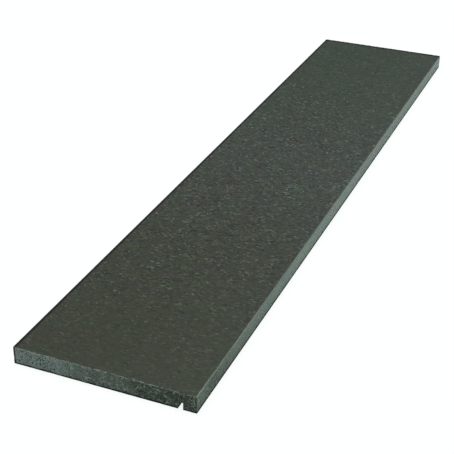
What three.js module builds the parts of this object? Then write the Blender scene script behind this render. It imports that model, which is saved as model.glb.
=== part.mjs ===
// Granite window sill: one slab of stone with a drip groove sawn along its underside.
//
// Millimetres, +Z up. The slab lies on its bedding face. X runs along the window, -Y is the front
// that stands out over the wall, and +Y is the back that goes under the window frame. The origin
// is the middle of the bedding face's outline.
import * as THREE from "three";

// Driving dimensions of the slab.
const LENGTH = 1000;
const DEPTH = 200;
const THICKNESS = 20;

// The drip groove is one cut of a saw blade. It runs from end to end, so that water coming round
// the front lets go of the stone there and doesn't reach the wall. The blade's far side is set as
// far behind the front as the slab is thick.
const GROOVE_WIDTH = 5.5;
const GROOVE_HEIGHT = 8;
const GROOVE_BACK_FROM_FRONT = THICKNESS;

// Legs of the small bevels on the long edges. The front is dressed, and the back is only rubbed.
const FRONT_ARRIS = 1;
const BACK_ARRIS = 0.5;

const GRANITE_COLOUR = 0x484e47;
const HONED_ROUGHNESS = 0.5;

// The slab's section across its length, drawn with its first axis to the back and its second up,
// anticlockwise from the front's lower bevel.
function sectionOutline() {
  const front = -DEPTH / 2;
  const back = DEPTH / 2;
  const grooveBack = front + GROOVE_BACK_FROM_FRONT;
  const grooveFront = grooveBack - GROOVE_WIDTH;
  const outline = new THREE.Shape();
  outline.moveTo(front + FRONT_ARRIS, 0);
  outline.lineTo(grooveFront, 0);
  outline.lineTo(grooveFront, GROOVE_HEIGHT);
  outline.lineTo(grooveBack, GROOVE_HEIGHT);
  outline.lineTo(grooveBack, 0);
  outline.lineTo(back - BACK_ARRIS, 0);
  outline.lineTo(back, BACK_ARRIS);
  outline.lineTo(back, THICKNESS - BACK_ARRIS);
  outline.lineTo(back - BACK_ARRIS, THICKNESS);
  outline.lineTo(front + FRONT_ARRIS, THICKNESS);
  outline.lineTo(front, THICKNESS - FRONT_ARRIS);
  outline.lineTo(front, FRONT_ARRIS);
  outline.closePath();
  return outline;
}

// The section is extruded along the slab's length. The basis turns the drawing's axes to the back,
// up and along the slab.
function sillGeometry() {
  const geometry = new THREE.ExtrudeGeometry(sectionOutline(), { depth: LENGTH, bevelEnabled: false });
  geometry.translate(0, 0, -LENGTH / 2);
  const toSlab = new THREE.Matrix4().makeBasis(
    new THREE.Vector3(0, 1, 0),
    new THREE.Vector3(0, 0, 1),
    new THREE.Vector3(1, 0, 0),
  );
  return geometry.applyMatrix4(toSlab);
}

function makeSill() {
  const granite = new THREE.MeshStandardMaterial({
    color: GRANITE_COLOUR,
    roughness: HONED_ROUGHNESS,
    metalness: 0,
  });
  const sill = new THREE.Mesh(sillGeometry(), granite);
  sill.name = "sill";
  return sill;
}

const windowSill = new THREE.Group();
windowSill.add(makeSill());

export default windowSill;
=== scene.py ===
"""A granite window sill: a honed slab with a rubbed front, sawn ends and a drip groove underneath.

Metres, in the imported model's frame: X along the sill, -Y the front, +Z up. The stone is one piece and
stands for the CAD slab. It is sawn from a block, its long edges are eased, and its ends are left as
the saw leaves them: rough, with small chips out of their edges.
"""
import math

import bpy
from mathutils import Matrix, Vector


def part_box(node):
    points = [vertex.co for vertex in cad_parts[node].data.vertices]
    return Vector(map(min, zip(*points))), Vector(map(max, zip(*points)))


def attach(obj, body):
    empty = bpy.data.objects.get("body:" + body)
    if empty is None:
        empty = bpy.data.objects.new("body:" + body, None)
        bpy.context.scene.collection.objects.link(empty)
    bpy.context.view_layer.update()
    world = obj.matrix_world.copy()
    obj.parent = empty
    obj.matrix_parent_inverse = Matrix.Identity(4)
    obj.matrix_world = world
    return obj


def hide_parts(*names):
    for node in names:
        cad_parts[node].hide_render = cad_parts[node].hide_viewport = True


MM = 0.001

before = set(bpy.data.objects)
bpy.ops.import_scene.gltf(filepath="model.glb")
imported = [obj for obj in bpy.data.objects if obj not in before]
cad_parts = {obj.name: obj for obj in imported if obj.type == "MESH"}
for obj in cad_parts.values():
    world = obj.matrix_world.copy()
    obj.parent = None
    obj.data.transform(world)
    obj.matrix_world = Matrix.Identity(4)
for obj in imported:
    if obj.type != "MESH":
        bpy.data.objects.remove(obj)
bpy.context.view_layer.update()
LOW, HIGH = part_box("sill")
MIDDLE = (LOW + HIGH) / 2
LENGTH = HIGH.x - LOW.x
THICKNESS = HIGH.z - LOW.z
# A face or edge this near to a place counts as lying there.
TOUCH = 0.1 * MM
# Long edges have their middles within this reach of the middle of the sill.
MIDDLE_REACH = LENGTH / 4

# The drip groove: one cut of a blade, its back wall as far behind the front as the slab is thick.
GROOVE_WIDTH = 5.5 * MM
GROOVE_HEIGHT = 8 * MM
GROOVE_BACK = LOW.y + THICKNESS
GROOVE_FRONT = GROOVE_BACK - GROOVE_WIDTH
GROOVE_TOP = LOW.z + GROOVE_HEIGHT
BLADE_CORNER = 0.3 * MM
BLADE_RUN_OUT = 10 * MM

# Radii of the eased long edges, and the narrow strips beside them that keep the wide faces flat.
FRONT_ARRIS = 1 * MM
FOOT_ARRIS = 0.3 * MM
BACK_ARRIS = 0.5 * MM
STRIP = 1.5 * MM

# The last stretch at each end is meshed finely enough for crystals torn out by the saw.
END_GRID = 0.65 * MM
END_ROWS = 7
FIRST_ROW = 0.7 * MM
ROW_GROWTH = 1.4

# Wear at the ends fades out over their reach. Near the foot only a share of it is lost.
END_REACH = 4 * MM
TEAR_SIZE = 1.6 * MM
TEAR_DEPTH = 0.45 * MM
CHIP_SIZE = 3 * MM
CHIP_DEPTH = 0.5 * MM
LOWER_SHARE = 0.2

# The front edges are cut this finely along the sill, so that they can wander and carry a few nicks.
NICK_GRID = 2.5 * MM
NICK_SIZE = 5 * MM
NICK_DEPTH = 0.6 * MM
WANDER_SIZE = 14 * MM
WANDER_DEPTH = 0.15 * MM
UPPER_EDGE_SHARE = 1.5
FOOT_EDGE_SHARE = 0.4

# Levels of the wear's pattern, from 0 to 1, at which it starts and has its full depth.
CHIP_LEVELS = (0.5, 0.8)
TEAR_LEVELS = (0.3, 0.7)
NICK_LEVELS = (0.62, 0.8)

CREASE_ANGLE = math.radians(35)

# The camera: its place in metres, its turns in degrees, and its lens and sensor in millimetres.
CAMERA_PLACE = (-1.2369, -0.4292, 0.6507)
CAMERA_HEADING = -67.75
CAMERA_TILT = 60.89
CAMERA_ROLL = 0.81
CAMERA_LENS = 86.16
CAMERA_SENSOR = 36

# Stage and light: levels are shares of what a white surface that faces the light sends back.
TABLE_SIZE = 24
TABLE_GAP = 0.1 * MM
TABLE_COLOUR = "d9efe4"
VEIL_GAP = 0.05 * MM
VEIL_SHARE = 0.8
VEIL_LEVEL = 1.08
BACKDROP_RADIUS = 11
ROOM_COLOUR = "6c6c6c"
OVERHEAD_LEVEL = 0.8
OVERHEAD_SPREAD = 60

# From here on lengths are in millimetres. Places along the sill and across it are measured from its
# middle, and heights from its underside. A list of stops starts with the two ends of its ramp.
# A range is two levels or places, and then the two values that they turn into.
RANGE = ("From Min", "From Max", "To Min", "To Max")

# The stone, a dark gabbro sold as granite: pyroxene from near black to grey-green, and feldspar.
STONE_IOR = 1.56
MEAN_COLOUR = "39403a"
CRYSTAL_STOPS = [(0, "2a302b"), (1, "4d554d"), (0.2, "333a34"), (0.8, "414941")]
# The crystals lie across the sill: their usual sizes along each axis.
CRYSTAL_SIZE = (1.8, 3.4, 2)
MOTTLES_PER_CRYSTAL = 1.7
MOTTLING = (0.3, 0.7, 0.75, 1.25)
# Crystals interlock, so their outlines bend: how often, and how far.
BEND_SIZE = 3
BEND_REACH = 2.5
# Long grains that stand out of the rest: their turn in degrees, colour, share, width and length.
# The pale ones are feldspar and the black ones pyroxene.
LONG_GRAINS = [((10, 15, 22), "6f7776", 0.09, 1.3, 4.4), ((-15, 10, -28), "838b89", 0.06, 1.2, 4),
               ((12, -20, -12), "060806", 0.14, 1.4, 4.2), ((-10, 20, 14), "080b08", 0.13, 1.6, 4.4)]
# Feldspar laths that the saw has torn pale, in the plane of the ends.
TORN_LATHS = [((20, 0, 0), "98a09a", 0.08, 0.9, 4), ((78, 0, 0), "8c948e", 0.08, 0.9, 4.5),
              ((-42, 0, 0), "828a84", 0.1, 0.9, 3.5)]
# The most that such a grain hides of what it lies in.
GRAIN_COVER = 0.95
# Patches a thumb wide that are a little redder, greener or bluer than the rest.
DRIFT_SIZE = 22
DRIFT_SWING = (0.5, 0.4, 0.5)
DRIFT_BASE = (0.67, 0.769, 0.645)
# The block changes from olive at the left end to a faint blue-green at the right.
TINT_STOPS = [(0.08, "dad9bc"), (0.95, "e4f6e5"), (0.5, "ffffff"), (0.25, "e4e4d2")]

# Colours laid on the stone: dust, the ends' paler tone, pale bruises and painted light, and dark margins,
# which are painted shade at the feet.
DUST_COLOUR = "7b8780"
END_PALE_COLOUR = "8a9393"
# Pale bruises, the front arris's painted highlight and the groove's painted light.
BRUISE_AND_PAINTED_LIGHT_COLOUR = "9ba39d"
# Painted shade at the feet, and the darker bands along the back and right edges.
DARK_MARGIN_COLOUR = "0c0f0c"

# Dark margins: the axis, where they start, where they are full, and how full. At the feet this is
# painted shade along the lower edges, where the slab meets the table; it reaches higher up the front than
# the ends. The back and right margins are only darker bands.
FOOT_SHADE = ("Z", 2.3, 1.2, 0.97)
FRONT_FOOT_SHADE = ("Z", 3.5, 2.1, 0.97)
BACK_MARGIN = ("Y", 95.3, 97.2, 0.96)
END_BACK_MARGIN = ("Y", 97, 98.7, 0.95)
RIGHT_MARGIN = ("X", 490.5, 494.5, 0.9)
MARGIN_WANDER_SIZE = 9
MARGIN_WANDER = 3

# The honed top: how clearly it shows its crystals along the sill and in patches, and where hands have
# left it paler. Such a coat is given by where it starts, where it is full, and how full.
TOP_RISE = (-520, -220, 0.4, 1)
TOP_FALL = (60, 420, 1, 0.55)
TOP_PATCH_SIZE = 12
TOP_PATCHES = (0.4, 0.6, 0.5, 1.15)
HANDLED = (10, -90, 0.025)
HONED_ROUGHNESS = (0.44, 0.56)

# The rubbed front: how clearly it shows its crystals along the sill, where its pale coat of rubbing
# dust and painted sheen is laid and where some is taken off again, and where the saw's roughness is left.
FRONT_CLEAR = (-470, -400, 1.2, 0.4)
FRONT_DUST_AND_SHEEN = (-480, -160, 0.42)
CORNER_DUST_AND_SHEEN = (-448, -498, 0.26)
THINNED_DUST_AND_SHEEN = (-30, 60, 0.12)
# The coat's clouds, dust and painted sheen, are teal to grey, and greyer by this much of their ramp for
# each mm to the right.
DUST_AND_SHEEN_CLOUD_SIZE = 35
DUST_AND_SHEEN_STOPS = [(0.27, "7a958f"), (0.57, "9b9698")]
GREYER_PER_MM = 0.3 / 1000
UNRUBBED = (-400, -480, 0.3)
RUBBED_ROUGHNESS = (0.3, 0.36)
# Heights between which the upper edges are paler: a painted highlight on the front, and bruises with a
# painted highlight on the ends; and how much of the front's edge has it.
BRUISE_AND_HIGHLIGHT_BAND = (18.4, 18.9, 19.6, 20)
FRONT_ARRIS_HIGHLIGHT = (-380, -250, 0.6, 0.15)

# The sawn ends: how clearly they show their crystals, and blotches.
END_PATCH_SIZE = 12
END_PATCHES = (0.4, 0.6, 0.5, 0.8)
BLOTCH_SIZE = 8
BLOTCHES = (0.35, 0.65, 0.8, 1.1)
END_ROUGHNESS = (0.6, 0.9)
# The ends grow paler in two steps towards the back. The steps' edges are moved forward by up to their
# wander.
PALING_EDGE_SIZE = 12
PALING_EDGE_WANDER = 60
FIRST_PALING = (-8, 8, 0.24)
BACK_PALING = (30, 110, 0.58)
# Pits darkened with painted shade, a little closer together in patches and where the ends are paler,
# and the pale rims round them, partly bruises and partly painted highlights.
PIT_SIZE = 1.3
PIT_PATCH_SIZE = 13
PIT_PATCH_SHARE = 0.25
PIT_PALING_SHARE = 0.05
PIT_SHADE = (0.74, 0.775, 1, 0.12)
RIM_LEVELS = (0.66, 0.7, 0.71, 0.74)
RIM_SHARE = 0.4
# The pale line along the upper edge, partly bruises and partly a painted highlight, comes and goes.
BROKEN_LINE_SIZE = 5
BROKEN_LINE = (0.42, 0.52, 0.1, 0.8)

# The sawn underside and back: saw lines 1.5 mm apart and very long, and a haze of dust.
BED_PATCH_SIZE = 30
BED_PATCHES = (0.3, 0.6, 0.7, 1)
SAW_LINE_SIZE = (250, 1.5, 1.5)
SAW_LINES = (0.35, 0.65, 0.75, 1.3)
SAW_LINE_RELIEF = 0.5
HAZE_SIZE = 45
HAZE = (0.4, 0.65, 0.05, 0.35)
BED_ROUGHNESS = (0.7, 0.9)

# The groove's walls, made pale with painted light, as though light reached into it.
GROOVE_PAINTED_LIGHT = 0.75
GROOVE_ROUGHNESS = (0.8, 0.95)

# Heights of the fine relief, in metres: nearly none where the stone is ground, more where it is sawn.
GROUND_RELIEF = 0.01 * MM
END_RELIEF = 0.15 * MM
BED_RELIEF = 0.2 * MM

# How squarely a face looks along the sill, up or down to be given the finish of that side.
END_FACING = 0.6
TOP_FACING = 0.5
BED_FACING = -0.9


# ---- small helpers ------------------------------------------------------------------------------

def linear(hex_colour):
    """The linear RGBA of an sRGB hex colour such as '484e47'."""
    channels = [int(hex_colour[i:i + 2], 16) / 255 for i in (0, 2, 4)]
    return [c / 12.92 if c <= 0.04045 else ((c + 0.055) / 1.055) ** 2.4 for c in channels] + [1.0]


def add_node(tree, kind, settings=None, values=None, links=None, stops=None):
    """Adds a node with its properties, its sockets' values, its sockets' sources and its ramp's stops."""
    node = tree.nodes.new(kind)
    for name, value in (settings or {}).items():
        setattr(node, name, value)
    for name, value in (values or {}).items():
        node.inputs[name].default_value = value
    for name, source in (links or {}).items():
        tree.links.new(source, node.inputs[name])
    for i, (position, colour) in enumerate(stops or []):
        ramp = node.color_ramp.elements
        stop = ramp[i] if i < 2 else ramp.new(position)
        stop.position = position
        stop.color = linear(colour)
    return node


def new_material(name):
    material = bpy.data.materials.new(name)
    material.use_nodes = True
    material.node_tree.nodes.clear()
    return material


def select(piece, kind, wanted):
    """Selects only the piece's vertices, edges or faces that are wanted."""
    kinds = {"VERT": piece.data.vertices, "EDGE": piece.data.edges, "FACE": piece.data.polygons}
    bpy.context.tool_settings.mesh_select_mode = [kind == name for name in kinds]
    for elements in kinds.values():
        elements.foreach_set("select", [False] * len(elements))
    for element in kinds[kind]:
        element.select = wanted(element)


def edge_middle(piece, edge):
    a, b = (piece.data.vertices[i].co for i in edge.vertices)
    return (a + b) / 2


def make_block(name, low, high):
    """A block between two corners, with its place in its mesh."""
    bpy.ops.object.select_all(action="DESELECT")
    bpy.ops.mesh.primitive_cube_add(size=1, location=(low + high) / 2)
    block = bpy.context.object
    block.name = name
    block.scale = high - low
    bpy.ops.object.transform_apply(location=True, rotation=True, scale=True)
    return block


def bevel_edges(piece, width, segments, wanted):
    select(piece, "EDGE", lambda edge: wanted(edge_middle(piece, edge)))
    bpy.ops.object.mode_set(mode="EDIT")
    bpy.ops.mesh.bevel(offset=width, offset_type="OFFSET", segments=segments, profile=0.5, affect="EDGES")
    bpy.ops.object.mode_set(mode="OBJECT")


def cut_across(piece, axis, places, wanted=lambda face: True):
    """Cuts the wanted faces by planes square to an axis."""
    select(piece, "FACE", wanted)
    bpy.ops.object.mode_set(mode="EDIT")
    bpy.ops.mesh.hide(unselected=True)
    normal = [1 if i == axis else 0 for i in range(3)]
    for place in places:
        bpy.ops.mesh.select_all(action="SELECT")
        bpy.ops.mesh.bisect(plane_co=[place * n for n in normal], plane_no=normal)
    bpy.ops.mesh.reveal()
    bpy.ops.object.mode_set(mode="OBJECT")


def steps(start, stop, step):
    """Evenly spaced places strictly between start and stop, about a step apart."""
    count = max(1, round((stop - start) / step))
    return [start + (stop - start) * i / count for i in range(1, count)]


def apply_modifier(piece, modifier):
    bpy.ops.object.select_all(action="DESELECT")
    piece.select_set(True)
    bpy.context.view_layer.objects.active = piece
    bpy.ops.object.modifier_apply(modifier=modifier.name)


# ---- camera, table and light --------------------------------------------------------------------

def make_camera():
    camera = bpy.data.objects.new("camera", bpy.data.cameras.new("camera"))
    bpy.context.scene.collection.objects.link(camera)
    camera.data.sensor_width = CAMERA_SENSOR
    camera.data.lens = CAMERA_LENS
    place = Matrix.Translation(CAMERA_PLACE)
    heading = Matrix.Rotation(math.radians(CAMERA_HEADING), 4, "Z")
    tilt = Matrix.Rotation(math.radians(CAMERA_TILT), 4, "X")
    roll = Matrix.Rotation(math.radians(CAMERA_ROLL), 4, "Z")
    camera.matrix_world = place @ heading @ tilt @ roll
    bpy.context.scene.camera = camera


def make_table():
    """A matt table, pale green-white, whose light comes back up onto the sides of the slab."""
    bpy.ops.mesh.primitive_plane_add(size=TABLE_SIZE, location=(0, 0, LOW.z - TABLE_GAP))
    table = bpy.context.object
    table.name = "table"
    material = new_material("matt_table")
    paint = add_node(material.node_tree, "ShaderNodeBsdfPrincipled", values={
        "Base Color": linear(TABLE_COLOUR),
        "Roughness": 0.9,
        "Specular IOR Level": 0.1,
    })
    add_node(material.node_tree, "ShaderNodeOutputMaterial", links={"Surface": paint.outputs["BSDF"]})
    table.data.materials.append(material)


def show_to_camera_only(stage_piece):
    stage_piece.visible_diffuse = False
    stage_piece.visible_glossy = False
    stage_piece.visible_transmission = False
    stage_piece.visible_shadow = False


def make_veil():
    """A veil of white just over the table, which leaves only a trace of the slab's shadow."""
    bpy.ops.mesh.primitive_plane_add(size=TABLE_SIZE, location=(0, 0, LOW.z - VEIL_GAP))
    veil = bpy.context.object
    veil.name = "white_veil"
    material = new_material("white_veil")
    tree = material.node_tree
    clear = add_node(tree, "ShaderNodeBsdfTransparent")
    glow = add_node(tree, "ShaderNodeEmission",
                    values={"Color": linear("ffffff"), "Strength": VEIL_LEVEL})
    mix = add_node(tree, "ShaderNodeMixShader", values={"Fac": VEIL_SHARE},
                   links={1: clear.outputs["BSDF"], 2: glow.outputs["Emission"]})
    add_node(tree, "ShaderNodeOutputMaterial", links={"Surface": mix.outputs["Shader"]})
    veil.data.materials.append(material)
    show_to_camera_only(veil)


def make_backdrop():
    """A white dome around everything, which doesn't light the stone."""
    bpy.ops.mesh.primitive_uv_sphere_add(radius=BACKDROP_RADIUS, segments=32, ring_count=16)
    dome = bpy.context.object
    dome.name = "backdrop"
    material = new_material("white_backdrop")
    glow = add_node(material.node_tree, "ShaderNodeEmission",
                    values={"Color": linear("ffffff"), "Strength": 1})
    add_node(material.node_tree, "ShaderNodeOutputMaterial", links={"Surface": glow.outputs["Emission"]})
    dome.data.materials.append(material)
    show_to_camera_only(dome)


def make_light():
    """A wide soft light straight above, in a room with dim walls."""
    world = bpy.data.worlds.new("studio")
    world.use_nodes = True
    world.node_tree.nodes["Background"].inputs["Color"].default_value = linear(ROOM_COLOUR)
    bpy.context.scene.world = world
    overhead = bpy.data.lights.new("overhead", "SUN")
    overhead.energy = math.pi * OVERHEAD_LEVEL
    overhead.angle = math.radians(OVERHEAD_SPREAD)
    lamp = bpy.data.objects.new("overhead", overhead)
    bpy.context.scene.collection.objects.link(lamp)
    bpy.context.scene.view_settings.view_transform = "Standard"


# ---- the slab's shape ---------------------------------------------------------------------------

def saw_groove(slab):
    """The drip groove is cut by a blade whose corners are a little worn."""
    low = Vector((LOW.x - BLADE_RUN_OUT, GROOVE_FRONT, LOW.z - BLADE_RUN_OUT))
    high = Vector((HIGH.x + BLADE_RUN_OUT, GROOVE_BACK, GROOVE_TOP))
    blade = make_block("blade", low, high)
    bevel_edges(blade, BLADE_CORNER, 3, lambda p: p.z > high.z - TOUCH and abs(p.x) < MIDDLE_REACH)
    cut = slab.modifiers.new("drip_groove", "BOOLEAN")
    cut.operation = "DIFFERENCE"
    cut.solver = "EXACT"
    cut.object = blade
    apply_modifier(slab, cut)
    bpy.data.objects.remove(blade)


def ease_long_edges(slab):
    """The upper front edge is rubbed round, and the others only lose their sharpness."""
    for y, z, radius, segments in ((LOW.y, HIGH.z, FRONT_ARRIS, 3), (LOW.y, LOW.z, FOOT_ARRIS, 2),
                                   (HIGH.y, HIGH.z, BACK_ARRIS, 2), (HIGH.y, LOW.z, BACK_ARRIS, 2)):
        bevel_edges(slab, radius, segments, lambda p: (
            abs(p.y - y) < TOUCH and abs(p.z - z) < TOUCH and abs(p.x) < MIDDLE_REACH))


def end_distance(point):
    """How far a point lies from the nearer end of the slab."""
    return min(point.x - LOW.x, HIGH.x - point.x)


def outline_distance(point):
    """How far a point of the slab's section lies from the section's outer edges."""
    return max(0, min(point.y - LOW.y, HIGH.y - point.y, point.z - LOW.z, HIGH.z - point.z))


def divide_faces(slab):
    """Divides the ends and the front edges finely, and leaves the wide faces whole."""
    cut_across(slab, 1, [LOW.y + FRONT_ARRIS + STRIP, HIGH.y - BACK_ARRIS - STRIP])
    cut_across(slab, 2, [LOW.z + FRONT_ARRIS + STRIP, HIGH.z - FRONT_ARRIS - STRIP])
    rows = [FIRST_ROW * (ROW_GROWTH ** (i + 1) - 1) / (ROW_GROWTH - 1) for i in range(END_ROWS)]
    cut_across(slab, 0, [LOW.x + row for row in rows] + [HIGH.x - row for row in rows])

    def in_end_stretch(face):
        return end_distance(face.center) < rows[-1]
    cut_across(slab, 1, steps(LOW.y, HIGH.y, END_GRID), in_end_stretch)
    cut_across(slab, 2, steps(LOW.z, HIGH.z, END_GRID), in_end_stretch)

    def in_front_edge(face):
        along = end_distance(face.center) > rows[-1] and face.center.y < LOW.y + FRONT_ARRIS + STRIP
        return along and min(face.center.z - LOW.z, HIGH.z - face.center.z) < FRONT_ARRIS + STRIP
    cut_across(slab, 0, steps(LOW.x + rows[-1], HIGH.x - rows[-1], NICK_GRID), in_front_edge)


def weigh(slab, name, weight):
    """A vertex group whose weights come from each vertex's place."""
    group = slab.vertex_groups.new(name=name)
    for vertex in slab.data.vertices:
        share = weight(vertex.co)
        if share > 0:
            group.add([vertex.index], min(share, 1), "REPLACE")


def wear(slab, name, group, direction, depth, size, levels=None):
    """Moves the group's stone by up to depth. Levels leave it whole where the pattern is low."""
    texture = bpy.data.textures.new(name, "CLOUDS")
    texture.noise_scale = size
    texture.noise_depth = 2
    if levels:
        texture.use_color_ramp = True
        edge, full = texture.color_ramp.elements
        edge.position, full.position = levels
        edge.color, full.color = (0, 0, 0, 1), (1, 1, 1, 1)
    loss = slab.modifiers.new(name, "DISPLACE")
    loss.texture = texture
    loss.texture_coords = "LOCAL"
    loss.vertex_group = group
    loss.direction = direction
    loss.mid_level = 0
    loss.strength = depth
    apply_modifier(slab, loss)


def wear_ends(slab):
    """The saw tears crystals out of the ends, and chips fall from the ends' edges.

    All of it goes inwards, and fades within a short reach, so the mesh never folds over itself.
    """
    def near(distance):
        return 1 - distance / END_REACH

    def edge_share(p):
        return near(math.hypot(end_distance(p), outline_distance(p)))

    def height_share(p):
        return LOWER_SHARE + (1 - LOWER_SHARE) * min(1, (p.z - LOW.z) / END_REACH)
    for side, inward in (("left", 1), ("right", -1)):
        def on_side(p):
            return height_share(p) if p.x * inward < 0 else 0
        weigh(slab, side + "_end", lambda p: on_side(p) * near(end_distance(p)))
        weigh(slab, side + "_edges", lambda p: on_side(p) * edge_share(p))
    weigh(slab, "upper_edges", lambda p: edge_share(p) if p.z > MIDDLE.z else 0)
    weigh(slab, "lower_edges", lambda p: edge_share(p) if p.z < GROOVE_TOP / 2 and p.y > LOW.y else 0)
    wear(slab, "chips_down", "upper_edges", "Z", -CHIP_DEPTH, CHIP_SIZE, CHIP_LEVELS)
    wear(slab, "chips_up", "lower_edges", "Z", CHIP_DEPTH * LOWER_SHARE, CHIP_SIZE, CHIP_LEVELS)
    for side, inward in (("left", 1), ("right", -1)):
        wear(slab, side + "_chips", side + "_edges", "X", inward * CHIP_DEPTH, CHIP_SIZE, CHIP_LEVELS)
        wear(slab, side + "_tears", side + "_end", "X", inward * TEAR_DEPTH, TEAR_SIZE, TEAR_LEVELS)


def wear_front_edges(slab):
    """Rubbing by hand leaves the front edges a little wavy, and handling nicks them."""
    def share(p):
        from_edge = math.hypot(p.y - LOW.y, min(p.z - LOW.z, HIGH.z - p.z))
        strength = UPPER_EDGE_SHARE if p.z > MIDDLE.z else FOOT_EDGE_SHARE
        return strength * (1 - from_edge / (FRONT_ARRIS + STRIP))
    weigh(slab, "front_edges", share)
    wear(slab, "wavy_edge", "front_edges", "NORMAL", -WANDER_DEPTH, WANDER_SIZE)
    wear(slab, "nicks", "front_edges", "NORMAL", -NICK_DEPTH, NICK_SIZE, NICK_LEVELS)


# ---- the stone's own pattern --------------------------------------------------------------------

def lay_grains(tree, place, colour, grains):
    """Lays long crystals over a colour, each kind turned its own way. Returns the new colour."""
    for turn, shade, share, width, length in grains:
        lying = add_node(tree, "ShaderNodeMapping", settings={"vector_type": "TEXTURE"},
                         values={"Rotation": [math.radians(a) for a in turn],
                                 "Scale": (width, length, width)},
                         links={"Vector": place})
        cells = add_node(tree, "ShaderNodeTexVoronoi", values={"Scale": 1},
                         links={"Vector": lying.outputs["Vector"]})
        draw = add_node(tree, "ShaderNodeSeparateColor", links={"Color": cells.outputs["Color"]})
        there = add_node(tree, "ShaderNodeMapRange",
                         values=dict(zip(RANGE, (1 - share, 1, 0, GRAIN_COVER))),
                         links={"Value": draw.outputs["Red"]})
        grained = add_node(tree, "ShaderNodeMix", settings={"data_type": "RGBA"},
                           values={"B": linear(shade)},
                           links={"Factor": there.outputs["Result"], "A": colour})
        colour = grained.outputs["Result"]
    return colour


def drifted(tree, mm, colour):
    """The colour with slow changes of tint: in patches, and from one end of the block to the other."""
    drift = add_node(tree, "ShaderNodeTexNoise", values={"Scale": 1 / DRIFT_SIZE, "Detail": 2},
                     links={"Vector": mm})
    patch = add_node(tree, "ShaderNodeVectorMath", settings={"operation": "MULTIPLY_ADD"},
                     values={1: DRIFT_SWING, 2: DRIFT_BASE}, links={0: drift.outputs["Color"]})
    patched = add_node(tree, "ShaderNodeVectorMath", settings={"operation": "MULTIPLY"},
                       links={0: colour, 1: patch.outputs["Vector"]})
    place = add_node(tree, "ShaderNodeSeparateXYZ", links={"Vector": mm})
    along = add_node(tree, "ShaderNodeMapRange",
                     values={"From Min": LOW.x / MM, "From Max": HIGH.x / MM},
                     links={"Value": place.outputs["X"]})
    tint = add_node(tree, "ShaderNodeValToRGB", links={"Fac": along.outputs["Result"]},
                    stops=TINT_STOPS)
    tinted = add_node(tree, "ShaderNodeMix", settings={"data_type": "RGBA", "blend_type": "MULTIPLY"},
                      values={"Factor": 1},
                      links={"A": patched.outputs["Vector"], "B": tint.outputs["Color"]})
    return tinted.outputs["Result"]


def stone_body(tree, contrast):
    """The stone's own pattern, the same through the whole block, on coordinates in millimetres.

    Interlocking crystals of 2 to 3 mm that lie across the sill, with finer mottling in them, long
    grains of black pyroxene and pale feldspar, and slow changes of tint.
    """
    place = add_node(tree, "ShaderNodeTexCoord")
    mm = add_node(tree, "ShaderNodeMapping", values={"Scale": [1 / MM] * 3},
                  links={"Vector": place.outputs["Object"]})
    bend = add_node(tree, "ShaderNodeTexNoise", values={"Scale": 1 / BEND_SIZE, "Detail": 2},
                    links={"Vector": mm.outputs["Vector"]})
    bent = add_node(tree, "ShaderNodeVectorMath", settings={"operation": "MULTIPLY_ADD"},
                    values={1: [BEND_REACH] * 3},
                    links={0: bend.outputs["Color"], 2: mm.outputs["Vector"]})
    lying = add_node(tree, "ShaderNodeMapping", settings={"vector_type": "TEXTURE"},
                     values={"Scale": CRYSTAL_SIZE}, links={"Vector": bent.outputs["Vector"]})
    crystals = add_node(tree, "ShaderNodeTexVoronoi", values={"Scale": 1},
                        links={"Vector": lying.outputs["Vector"]})
    draw = add_node(tree, "ShaderNodeSeparateColor", links={"Color": crystals.outputs["Color"]})
    mineral = add_node(tree, "ShaderNodeValToRGB", links={"Fac": draw.outputs["Red"]},
                       stops=CRYSTAL_STOPS)
    mottling = add_node(tree, "ShaderNodeTexNoise",
                        values={"Scale": MOTTLES_PER_CRYSTAL, "Detail": 3, "Roughness": 0.6},
                        links={"Vector": lying.outputs["Vector"]})
    grain = add_node(tree, "ShaderNodeMapRange", values=dict(zip(RANGE, MOTTLING)),
                     links={"Value": mottling.outputs["Fac"]})
    stone = add_node(tree, "ShaderNodeVectorMath", settings={"operation": "SCALE"},
                     links={"Vector": mineral.outputs["Color"], "Scale": grain.outputs["Result"]})
    grained = lay_grains(tree, bent.outputs["Vector"], stone.outputs["Vector"], LONG_GRAINS)
    seen = add_node(tree, "ShaderNodeMix", settings={"data_type": "RGBA"},
                    values={"A": linear(MEAN_COLOUR)},
                    links={"Factor": contrast(tree, mm.outputs["Vector"]), "B": grained})
    return {"mm": mm.outputs["Vector"], "bent": bent.outputs["Vector"],
            "colour": drifted(tree, mm.outputs["Vector"], seen.outputs["Result"]),
            "grain": mottling.outputs["Fac"], "crystal": draw.outputs["Green"]}


# ---- how clearly each face shows the pattern ----------------------------------------------------

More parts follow.
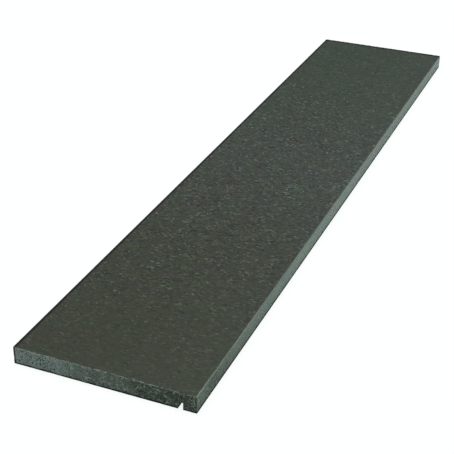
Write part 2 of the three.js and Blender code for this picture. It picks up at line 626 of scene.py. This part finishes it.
def clear_in_the_middle(tree, mm):
    """On the honed top the crystals show best along the middle of the sill, and in patches."""
    along = add_node(tree, "ShaderNodeSeparateXYZ", links={"Vector": mm})
    rise = add_node(tree, "ShaderNodeMapRange", settings={"interpolation_type": "SMOOTHSTEP"},
                    values=dict(zip(RANGE, TOP_RISE)), links={"Value": along.outputs["X"]})
    fall = add_node(tree, "ShaderNodeMapRange", settings={"interpolation_type": "SMOOTHSTEP"},
                    values=dict(zip(RANGE, TOP_FALL)), links={"Value": along.outputs["X"]})
    both = add_node(tree, "ShaderNodeMath", settings={"operation": "MULTIPLY"},
                    links={0: rise.outputs["Result"], 1: fall.outputs["Result"]})
    patches = add_node(tree, "ShaderNodeTexNoise", values={"Scale": 1 / TOP_PATCH_SIZE, "Detail": 2},
                       links={"Vector": mm})
    patch = add_node(tree, "ShaderNodeMapRange", values=dict(zip(RANGE, TOP_PATCHES)),
                     links={"Value": patches.outputs["Fac"]})
    patchy = add_node(tree, "ShaderNodeMath", settings={"operation": "MULTIPLY"},
                      links={0: both.outputs["Value"], 1: patch.outputs["Result"]})
    return patchy.outputs["Value"]


def clear_at_the_left(tree, mm):
    """On the rubbed front the crystals show most in the last stretch before the left end."""
    along = add_node(tree, "ShaderNodeSeparateXYZ", links={"Vector": mm})
    share = add_node(tree, "ShaderNodeMapRange", settings={"interpolation_type": "SMOOTHSTEP"},
                     values=dict(zip(RANGE, FRONT_CLEAR)), links={"Value": along.outputs["X"]})
    return share.outputs["Result"]


def hazed_over(tree, mm):
    """On the sawn ends a skin of stone flour hides the crystals in patches."""
    patches = add_node(tree, "ShaderNodeTexNoise", values={"Scale": 1 / END_PATCH_SIZE},
                       links={"Vector": mm})
    share = add_node(tree, "ShaderNodeMapRange", values=dict(zip(RANGE, END_PATCHES)),
                     links={"Value": patches.outputs["Fac"]})
    return share.outputs["Result"]


def clear_all_over(tree, mm):
    """On the underside, the back and the groove's walls the crystals show nearly everywhere."""
    patches = add_node(tree, "ShaderNodeTexNoise", values={"Scale": 1 / BED_PATCH_SIZE},
                       links={"Vector": mm})
    share = add_node(tree, "ShaderNodeMapRange", values=dict(zip(RANGE, BED_PATCHES)),
                     links={"Value": patches.outputs["Fac"]})
    return share.outputs["Result"]


# ---- dust, bruises and grime --------------------------------------------------------------------

def margin(tree, place, inner, outer, share):
    """The share of a coat that rises from nothing at the inner place to its full strength outside."""
    rise = (inner, outer, 0, share) if inner < outer else (outer, inner, share, 0)
    coat = add_node(tree, "ShaderNodeMapRange", settings={"interpolation_type": "SMOOTHSTEP"},
                    values=dict(zip(RANGE, rise)), links={"Value": place})
    return coat.outputs["Result"]


def band(tree, place, limits):
    """A share that is 1 between the two middle limits and 0 beyond the outer ones."""
    start, full, ending, end = limits
    lower = margin(tree, place, start, full, 1)
    upper = margin(tree, place, end, ending, 1)
    both = add_node(tree, "ShaderNodeMath", settings={"operation": "MULTIPLY"},
                    links={0: lower, 1: upper})
    return both.outputs["Value"]


def darken_margins(tree, body, colour, roughness, margins):
    """Darkens and matts the margins, whose edges wander by about a mm; at the feet this is painted shade.
    """
    wander = add_node(tree, "ShaderNodeTexNoise", values={"Scale": 1 / MARGIN_WANDER_SIZE, "Detail": 3},
                      links={"Vector": body["mm"]})
    moved = add_node(tree, "ShaderNodeVectorMath", settings={"operation": "MULTIPLY_ADD"},
                     values={1: [MARGIN_WANDER] * 3}, links={0: wander.outputs["Color"], 2: body["mm"]})
    centred = add_node(tree, "ShaderNodeVectorMath", settings={"operation": "SUBTRACT"},
                       values={1: [MARGIN_WANDER / 2] * 3}, links={0: moved.outputs["Vector"]})
    place = add_node(tree, "ShaderNodeSeparateXYZ", links={"Vector": centred.outputs["Vector"]})
    for axis, inner, outer, share in margins:
        darkening = margin(tree, place.outputs[axis], inner, outer, share)
        dark = add_node(tree, "ShaderNodeMix", settings={"data_type": "RGBA"},
                        values={"B": linear(DARK_MARGIN_COLOUR)}, links={"Factor": darkening, "A": colour})
        matt = add_node(tree, "ShaderNodeMath", settings={"operation": "MAXIMUM"},
                        links={0: darkening, 1: roughness})
        colour, roughness = dark.outputs["Result"], matt.outputs["Value"]
    return colour, roughness


def front_dust_and_sheen(tree, body, along):
    """The front's colour under its pale coat, which clouds from teal to grey, greyer to the right.

    The coat is rubbing dust and painted sheen. It is thickest along the middle, nearly gone before the
    left end, and comes back at its corner.
    """
    clouds = add_node(tree, "ShaderNodeTexNoise", values={"Scale": 1 / DUST_AND_SHEEN_CLOUD_SIZE, "Detail": 2},
                      links={"Vector": body["mm"]})
    greyer = add_node(tree, "ShaderNodeMath", settings={"operation": "MULTIPLY_ADD"},
                      values={1: GREYER_PER_MM}, links={0: along, 2: clouds.outputs["Fac"]})
    tints = add_node(tree, "ShaderNodeValToRGB", links={"Fac": greyer.outputs["Value"]},
                     stops=DUST_AND_SHEEN_STOPS)
    laid = add_node(tree, "ShaderNodeMath", settings={"operation": "ADD"},
                    links={0: margin(tree, along, *FRONT_DUST_AND_SHEEN), 1: margin(tree, along, *CORNER_DUST_AND_SHEEN)})
    left = add_node(tree, "ShaderNodeMath", settings={"operation": "SUBTRACT"},
                    links={0: laid.outputs["Value"], 1: margin(tree, along, *THINNED_DUST_AND_SHEEN)})
    # A pale coat of rubbing dust and painted sheen.
    paled = add_node(tree, "ShaderNodeMix", settings={"data_type": "RGBA"},
                     links={"Factor": left.outputs["Value"], "A": body["colour"],
                            "B": tints.outputs["Color"]})
    return paled.outputs["Result"]


def end_paling(tree, body, across):
    """The share by which an end is paler: in two steps towards the back, with ragged edges."""
    ragged = add_node(tree, "ShaderNodeTexNoise", values={"Scale": 1 / PALING_EDGE_SIZE, "Detail": 3},
                      links={"Vector": body["mm"]})
    edge = add_node(tree, "ShaderNodeMath", settings={"operation": "MULTIPLY_ADD"},
                    values={1: PALING_EDGE_WANDER}, links={0: ragged.outputs["Fac"], 2: across})
    paling = add_node(tree, "ShaderNodeMath", settings={"operation": "ADD"},
                      links={0: margin(tree, edge.outputs["Value"], *FIRST_PALING),
                             1: margin(tree, edge.outputs["Value"], *BACK_PALING)})
    return paling.outputs["Value"]


def pit_shade_and_rims(tree, body, paling):
    """Pits where crystals are torn out: how much colour their painted shade leaves, and their pale rims'
    share.
    """
    pits = add_node(tree, "ShaderNodeTexNoise", values={"Scale": 1 / PIT_SIZE, "Detail": 1},
                    links={"Vector": body["mm"]})
    patches = add_node(tree, "ShaderNodeTexNoise", values={"Scale": 1 / PIT_PATCH_SIZE, "Detail": 1},
                       links={"Vector": body["mm"]})
    crowded = add_node(tree, "ShaderNodeMath", settings={"operation": "MULTIPLY_ADD"},
                       values={1: PIT_PATCH_SHARE},
                       links={0: patches.outputs["Fac"], 2: pits.outputs["Fac"]})
    on_paling = add_node(tree, "ShaderNodeMath", settings={"operation": "MULTIPLY_ADD"},
                         values={1: PIT_PALING_SHARE},
                         links={0: paling, 2: crowded.outputs["Value"]})
    pit_shade = add_node(tree, "ShaderNodeMapRange", values=dict(zip(RANGE, PIT_SHADE)),
                   links={"Value": on_paling.outputs["Value"]})
    rim = band(tree, on_paling.outputs["Value"], RIM_LEVELS)
    rimmed = add_node(tree, "ShaderNodeMath", settings={"operation": "MULTIPLY"},
                      values={1: RIM_SHARE}, links={0: rim})
    return pit_shade.outputs["Result"], rimmed.outputs["Value"]


def broken_line(tree, body, height):
    """The share of the pale line along an end's upper edge, partly bruise and partly painted highlight,
    which comes and goes every few mm.
    """
    broken = add_node(tree, "ShaderNodeTexNoise", values={"Scale": 1 / BROKEN_LINE_SIZE, "Detail": 2},
                      links={"Vector": body["mm"]})
    line = add_node(tree, "ShaderNodeMapRange", values=dict(zip(RANGE, BROKEN_LINE)),
                    links={"Value": broken.outputs["Fac"]})
    upper = add_node(tree, "ShaderNodeMath", settings={"operation": "MULTIPLY"},
                     links={0: band(tree, height, BRUISE_AND_HIGHLIGHT_BAND), 1: line.outputs["Result"]})
    return upper.outputs["Value"]


# ---- the materials ------------------------------------------------------------------------------

def finish_stone(tree, colour, roughness, height, relief):
    """Closes a stone material: colour, roughness and a fine relief of the given height in metres."""
    bump = add_node(tree, "ShaderNodeBump", values={"Distance": relief}, links={"Height": height})
    stone = add_node(tree, "ShaderNodeBsdfPrincipled", values={"IOR": STONE_IOR}, links={
        "Base Color": colour, "Roughness": roughness, "Normal": bump.outputs["Normal"],
    })
    add_node(tree, "ShaderNodeOutputMaterial", links={"Surface": stone.outputs["BSDF"]})


def honed_granite():
    """Dark granite, honed: ground flat and matt, so the crystals show softly and without mirror gloss.

    The grit's scratches are too fine to show, and only make it rougher. Hands have left it a little
    paler towards the front.
    """
    material = new_material("granite_honed")
    tree = material.node_tree
    body = stone_body(tree, clear_in_the_middle)
    roughness = add_node(tree, "ShaderNodeMapRange", values=dict(zip(RANGE, (0, 1, *HONED_ROUGHNESS))),
                         links={"Value": body["crystal"]})
    place = add_node(tree, "ShaderNodeSeparateXYZ", links={"Vector": body["mm"]})
    handled = add_node(tree, "ShaderNodeMix", settings={"data_type": "RGBA"},
                       values={"B": linear(DUST_COLOUR)},
                       links={"Factor": margin(tree, place.outputs["Y"], *HANDLED),
                              "A": body["colour"]})
    # Darker bands along the back and right edges of the top.
    darkened = darken_margins(tree, body, handled.outputs["Result"], roughness.outputs["Result"],
                   [BACK_MARGIN, RIGHT_MARGIN])
    finish_stone(tree, *darkened, body["grain"], GROUND_RELIEF)
    return material


def rubbed_granite():
    """The same granite rubbed by hand along the front edge: smoother, so it shines at a low angle.

    Rubbing dust in its pores and painted sheen make the face paler than the top, least in the last
    stretch before the left end, where the upper edge has a painted highlight and rubbing has not taken
    the saw's roughness away. Painted shade darkens its foot.
    """
    material = new_material("granite_rubbed")
    tree = material.node_tree
    body = stone_body(tree, clear_at_the_left)
    place = add_node(tree, "ShaderNodeSeparateXYZ", links={"Vector": body["mm"]})
    # A painted highlight along the upper front edge, near the left end.
    highlight_reach = add_node(tree, "ShaderNodeMapRange", settings={"interpolation_type": "SMOOTHSTEP"},
                    values=dict(zip(RANGE, FRONT_ARRIS_HIGHLIGHT)), links={"Value": place.outputs["X"]})
    arris_highlight = add_node(tree, "ShaderNodeMath", settings={"operation": "MULTIPLY"},
                      links={0: band(tree, place.outputs["Z"], BRUISE_AND_HIGHLIGHT_BAND), 1: highlight_reach.outputs["Result"]})
    lightened = add_node(tree, "ShaderNodeMix", settings={"data_type": "RGBA"},
                       values={"B": linear(BRUISE_AND_PAINTED_LIGHT_COLOUR)},
                       links={"Factor": arris_highlight.outputs["Value"],
                              "A": front_dust_and_sheen(tree, body, place.outputs["X"])})
    smooth = add_node(tree, "ShaderNodeMapRange", values=dict(zip(RANGE, (0, 1, *RUBBED_ROUGHNESS))),
                      links={"Value": body["crystal"]})
    roughness = add_node(tree, "ShaderNodeMath", settings={"operation": "MULTIPLY_ADD"},
                         links={0: margin(tree, place.outputs["X"], *UNRUBBED),
                                1: body["crystal"], 2: smooth.outputs["Result"]})
    # Painted shade darkens the foot of the front.
    darkened = darken_margins(tree, body, lightened.outputs["Result"], roughness.outputs["Value"], [FRONT_FOOT_SHADE])
    finish_stone(tree, *darkened, body["grain"], GROUND_RELIEF)
    return material


def sawn_end_granite():
    """The same granite straight from the cross-cut saw: torn and matt, and paler towards the back.

    Torn crystals leave pits, darkened with painted shade, with pale rims that are partly bruises and
    partly painted highlights; the upper edge has a pale line of the same two kinds. The front of each
    end stays dark, and painted shade darkens its foot.
    """
    material = new_material("granite_sawn_end")
    tree = material.node_tree
    body = stone_body(tree, hazed_over)
    place = add_node(tree, "ShaderNodeSeparateXYZ", links={"Vector": body["mm"]})
    blotches = add_node(tree, "ShaderNodeTexNoise", values={"Scale": 1 / BLOTCH_SIZE, "Detail": 2},
                        links={"Vector": body["mm"]})
    blotch = add_node(tree, "ShaderNodeMapRange", values=dict(zip(RANGE, BLOTCHES)),
                      links={"Value": blotches.outputs["Fac"]})
    blotched = add_node(tree, "ShaderNodeVectorMath", settings={"operation": "SCALE"},
                        links={"Vector": body["colour"], "Scale": blotch.outputs["Result"]})
    paling = end_paling(tree, body, place.outputs["Y"])
    paled = add_node(tree, "ShaderNodeMix", settings={"data_type": "RGBA"},
                     values={"B": linear(END_PALE_COLOUR)},
                     links={"Factor": paling, "A": blotched.outputs["Vector"]})
    lathed = lay_grains(tree, body["bent"], paled.outputs["Result"], TORN_LATHS)
    pit_shade, rim = pit_shade_and_rims(tree, body, paling)
    # Pale rims and edge line: partly bruises, partly painted highlights.
    pale = add_node(tree, "ShaderNodeMath", settings={"operation": "MAXIMUM"},
                    links={0: rim, 1: broken_line(tree, body, place.outputs["Z"])})
    lightened = add_node(tree, "ShaderNodeMix", settings={"data_type": "RGBA"},
                       values={"B": linear(BRUISE_AND_PAINTED_LIGHT_COLOUR)},
                       links={"Factor": pale.outputs["Value"], "A": lathed})
    # Painted shade in the pits.
    pit_shaded = add_node(tree, "ShaderNodeVectorMath", settings={"operation": "SCALE"},
                      links={"Vector": lightened.outputs["Result"], "Scale": pit_shade})
    roughness = add_node(tree, "ShaderNodeMapRange", values=dict(zip(RANGE, (0, 1, *END_ROUGHNESS))),
                         links={"Value": body["crystal"]})
    # Painted shade darkens the foot of each end, and the back margin is darker.
    darkened = darken_margins(tree, body, pit_shaded.outputs["Vector"], roughness.outputs["Result"],
                   [FOOT_SHADE, END_BACK_MARGIN])
    finish_stone(tree, *darkened, body["grain"], END_RELIEF)
    return material


def sawn_bed_granite():
    """The same granite from the gang saw, whose blades leave fine lines along the slab."""
    material = new_material("granite_sawn_bed")
    tree = material.node_tree
    body = stone_body(tree, clear_all_over)
    stretched = add_node(tree, "ShaderNodeMapping",
                         values={"Scale": [1 / size for size in SAW_LINE_SIZE]},
                         links={"Vector": body["mm"]})
    wave = add_node(tree, "ShaderNodeTexNoise", values={"Scale": 1, "Detail": 2},
                    links={"Vector": stretched.outputs["Vector"]})
    lines = add_node(tree, "ShaderNodeMapRange", values=dict(zip(RANGE, SAW_LINES)),
                     links={"Value": wave.outputs["Fac"]})
    lined = add_node(tree, "ShaderNodeVectorMath", settings={"operation": "SCALE"},
                     links={"Vector": body["colour"], "Scale": lines.outputs["Result"]})
    haze = add_node(tree, "ShaderNodeTexNoise", values={"Scale": 1 / HAZE_SIZE, "Detail": 3},
                    links={"Vector": body["mm"]})
    dust = add_node(tree, "ShaderNodeMapRange", values=dict(zip(RANGE, HAZE)),
                    links={"Value": haze.outputs["Fac"]})
    paled = add_node(tree, "ShaderNodeMix", settings={"data_type": "RGBA"},
                     values={"B": linear(DUST_COLOUR)},
                     links={"Factor": dust.outputs["Result"], "A": lined.outputs["Vector"]})
    roughness = add_node(tree, "ShaderNodeMapRange", values=dict(zip(RANGE, (0, 1, *BED_ROUGHNESS))),
                         links={"Value": body["crystal"]})
    height = add_node(tree, "ShaderNodeMath", settings={"operation": "MULTIPLY_ADD"},
                      values={1: SAW_LINE_RELIEF}, links={0: wave.outputs["Fac"], 2: body["grain"]})
    finish_stone(tree, paled.outputs["Result"], roughness.outputs["Result"], height.outputs["Value"],
                 BED_RELIEF)
    return material


def sawn_groove_granite():
    """The drip groove's walls, made pale with painted light, as though light reached in from the ends."""
    material = new_material("granite_sawn_groove")
    tree = material.node_tree
    body = stone_body(tree, clear_all_over)
    # Painted light on the groove's shaded walls.
    paled = add_node(tree, "ShaderNodeMix", settings={"data_type": "RGBA"},
                     values={"Factor": GROOVE_PAINTED_LIGHT, "B": linear(BRUISE_AND_PAINTED_LIGHT_COLOUR)},
                     links={"A": body["colour"]})
    roughness = add_node(tree, "ShaderNodeMapRange", values=dict(zip(RANGE, (0, 1, *GROOVE_ROUGHNESS))),
                         links={"Value": body["crystal"]})
    finish_stone(tree, paled.outputs["Result"], roughness.outputs["Result"], body["grain"], BED_RELIEF)
    return material


def in_groove(point):
    """Whether a point lies on a wall of the drip groove, and not on the underside beside it."""
    across = GROOVE_FRONT - TOUCH < point.y < GROOVE_BACK + TOUCH
    return across and LOW.z + TOUCH < point.z < GROOVE_TOP + TOUCH


def finish_faces(slab):
    """Gives each face the finish of its side: the top honed, the front rubbed, the rest sawn."""
    finishes = (honed_granite(), rubbed_granite(), sawn_end_granite(), sawn_bed_granite(),
                sawn_groove_granite())
    for material in finishes:
        slab.data.materials.append(material)
    honed, rubbed, end, bed, groove = range(len(finishes))
    for face in slab.data.polygons:
        if abs(face.normal.x) > END_FACING or end_distance(face.center) < 2 * TOUCH:
            face.material_index = end
        elif in_groove(face.center):
            face.material_index = groove
        elif face.center.y < LOW.y + FRONT_ARRIS and face.normal.z > BED_FACING:
            face.material_index = rubbed
        elif face.normal.z > TOP_FACING:
            face.material_index = honed
        else:
            face.material_index = bed


def make_slab():
    slab = make_block("granite_slab", LOW, HIGH)
    saw_groove(slab)
    ease_long_edges(slab)
    divide_faces(slab)
    finish_faces(slab)
    wear_front_edges(slab)
    wear_ends(slab)
    bpy.ops.object.shade_smooth_by_angle(angle=CREASE_ANGLE)
    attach(slab, "root")
    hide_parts("sill")


make_camera()
make_slab()
make_table()
make_veil()
make_backdrop()
make_light()
